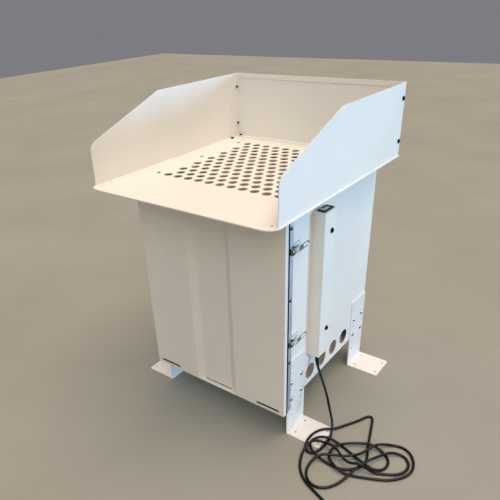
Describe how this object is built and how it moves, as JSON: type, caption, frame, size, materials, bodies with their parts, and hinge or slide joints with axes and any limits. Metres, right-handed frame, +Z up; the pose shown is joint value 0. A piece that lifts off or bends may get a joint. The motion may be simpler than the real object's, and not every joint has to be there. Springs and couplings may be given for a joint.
{
  "type": "book scanner station",
  "caption": "Free-standing library station: perforated extraction bed with side guards and back panel on a cabinet with latched door, switch box and mains lead.",
  "frame": {"origin": "on the floor, at the middle of the station without its cord", "axes": "+Z up, the front with the door faces -Y, +X to the right seen from the front"},
  "size_m": [0.9834, 0.8782, 0.951],
  "materials": {
    "white_paint": "smooth powder coat, low sheen",
    "zinc": "bright zinc plate",
    "bare_steel": "galvanised sheet",
    "black_screw": "black oxide",
    "black_plastic": "fine texture",
    "light_plastic": "smooth",
    "rubber": "closed-cell seal",
    "cord_jacket": "smooth cable jacket",
    "fan_metal": "plain sheet",
    "motor_paint": "satin",
    "filter_case": "galvanised",
    "filter_medium": "pleated glass fibre",
    "filter_mat": "coarse fibre mat"
  },
  "bodies": {
    "service_door": {"door_skin": "white_paint", "door_liner": "white_paint", "door_strips": "bare_steel", "door_edge_trims": "rubber", "door_strip_screws": "zinc", "door_gasket": "rubber", "latch_keepers": "zinc"},
    "filter_cassette": {"filter_frame": "filter_case", "filter_pleats": "filter_medium", "prefilter_mat": "filter_mat"},
    "fan_rotor": {"fan_wheel": "fan_metal", "fan_shaft": "fan_metal"},
    "switch_rocker": {"switch_rocker": "light_plastic"},
    "latch_lever_upper_right": {"latch_lever_upper_right": "zinc"},
    "latch_bail_upper_right": {"latch_bail_upper_right": "zinc"},
    "latch_lever_upper_left": {"latch_lever_upper_left": "zinc"},
    "latch_bail_upper_left": {"latch_bail_upper_left": "zinc"},
    "latch_lever_lower_right": {"latch_lever_lower_right": "zinc"},
    "latch_bail_lower_right": {"latch_bail_lower_right": "zinc"},
    "latch_lever_lower_left": {"latch_lever_lower_left": "zinc"},
    "latch_bail_lower_left": {"latch_bail_lower_left": "zinc"},
    "station": {"back_panel": "white_paint", "base_panel": "white_paint", "cable_gland": "black_plastic", "cord_bight": "cord_jacket", "cord_coil": "cord_jacket", "cord_lead": "cord_jacket", "cord_pile": "cord_jacket", "cord_tail": "cord_jacket", "corner_screws": "black_screw", "door_tongues": "white_paint", "fan_deck": "fan_metal", "fan_motor": "motor_paint", "filter_rails": "white_paint", "foot_bolts": "zinc", "foot_front_left": "white_paint", "foot_front_right": "white_paint", "foot_nuts": "zinc", "foot_rear_left": "white_paint", "foot_rear_right": "white_paint", "front_frame": "white_paint", "guard_bolts": "black_screw", "guard_left": "white_paint", "guard_nuts": "zinc", "guard_right": "white_paint", "guard_tab_screws": "zinc", "inlet_ring": "fan_metal", "latch_bases": "zinc", "motor_bracket": "fan_metal", "plug": "cord_jacket", "rear_panel": "white_paint", "side_panel_left": "white_paint", "side_panel_right": "white_paint", "switch_box": "white_paint", "switch_box_posts": "zinc", "switch_box_screws": "black_screw", "switch_housing": "black_plastic", "terminal_block": "black_plastic", "tray_plate": "white_paint", "tray_screws": "black_screw"}
  },
  "joints": [
    {"name": "door_pull", "type": "slide", "parent": "station", "child": "service_door", "axis": [0, -1, 0], "range_m": [0, 0.5]},
    {"name": "filter_draw", "type": "slide", "parent": "station", "child": "filter_cassette", "axis": [0, -1, 0], "range_m": [0, 0.4]},
    {"name": "fan_spin", "type": "hinge", "parent": "station", "child": "fan_rotor", "pos_m": [0, 0.07, 0.296], "axis": [0, 0, 1], "continuous": true},
    {"name": "switch_tilt", "type": "hinge", "parent": "station", "child": "switch_rocker", "pos_m": [0.256, -0.027, 0.6875], "axis": [1, 0, 0], "range_deg": [0, 16]},
    {"name": "latch_lever_upper_right_turn", "type": "hinge", "parent": "station", "child": "latch_lever_upper_right", "pos_m": [0.253, -0.166, 0.628], "axis": [0, 0, -1], "range_deg": [0, 120]},
    {"name": "latch_bail_upper_right_turn", "type": "hinge", "parent": "latch_lever_upper_right", "child": "latch_bail_upper_right", "pos_m": [0.2515, -0.157, 0.628], "axis": [0, 0, 1], "range_deg": [0, 140]},
    {"name": "latch_lever_upper_left_turn", "type": "hinge", "parent": "station", "child": "latch_lever_upper_left", "pos_m": [-0.253, -0.166, 0.628], "axis": [0, 0, 1], "range_deg": [0, 120]},
    {"name": "latch_bail_upper_left_turn", "type": "hinge", "parent": "latch_lever_upper_left", "child": "latch_bail_upper_left", "pos_m": [-0.2515, -0.157, 0.628], "axis": [0, 0, -1], "range_deg": [0, 140]},
    {"name": "latch_lever_lower_right_turn", "type": "hinge", "parent": "station", "child": "latch_lever_lower_right", "pos_m": [0.253, -0.166, 0.348], "axis": [0, 0, -1], "range_deg": [0, 120]},
    {"name": "latch_bail_lower_right_turn", "type": "hinge", "parent": "latch_lever_lower_right", "child": "latch_bail_lower_right", "pos_m": [0.2515, -0.157, 0.348], "axis": [0, 0, 1], "range_deg": [0, 140]},
    {"name": "latch_lever_lower_left_turn", "type": "hinge", "parent": "station", "child": "latch_lever_lower_left", "pos_m": [-0.253, -0.166, 0.348], "axis": [0, 0, 1], "range_deg": [0, 120]},
    {"name": "latch_bail_lower_left_turn", "type": "hinge", "parent": "latch_lever_lower_left", "child": "latch_bail_lower_left", "pos_m": [-0.2515, -0.157, 0.348], "axis": [0, 0, -1], "range_deg": [0, 140]}
  ],
  "couplings": [
    {"joint": "filter_draw", "follows": "door_pull", "ratio": 0.8},
    {"joint": "latch_bail_upper_right_turn", "follows": "latch_lever_upper_right_turn", "ratio": 1.1666},
    {"joint": "latch_bail_upper_left_turn", "follows": "latch_lever_upper_left_turn", "ratio": 1.1666},
    {"joint": "latch_bail_lower_right_turn", "follows": "latch_lever_lower_right_turn", "ratio": 1.1666},
    {"joint": "latch_bail_lower_left_turn", "follows": "latch_lever_lower_left_turn", "ratio": 1.1666}
  ]
}
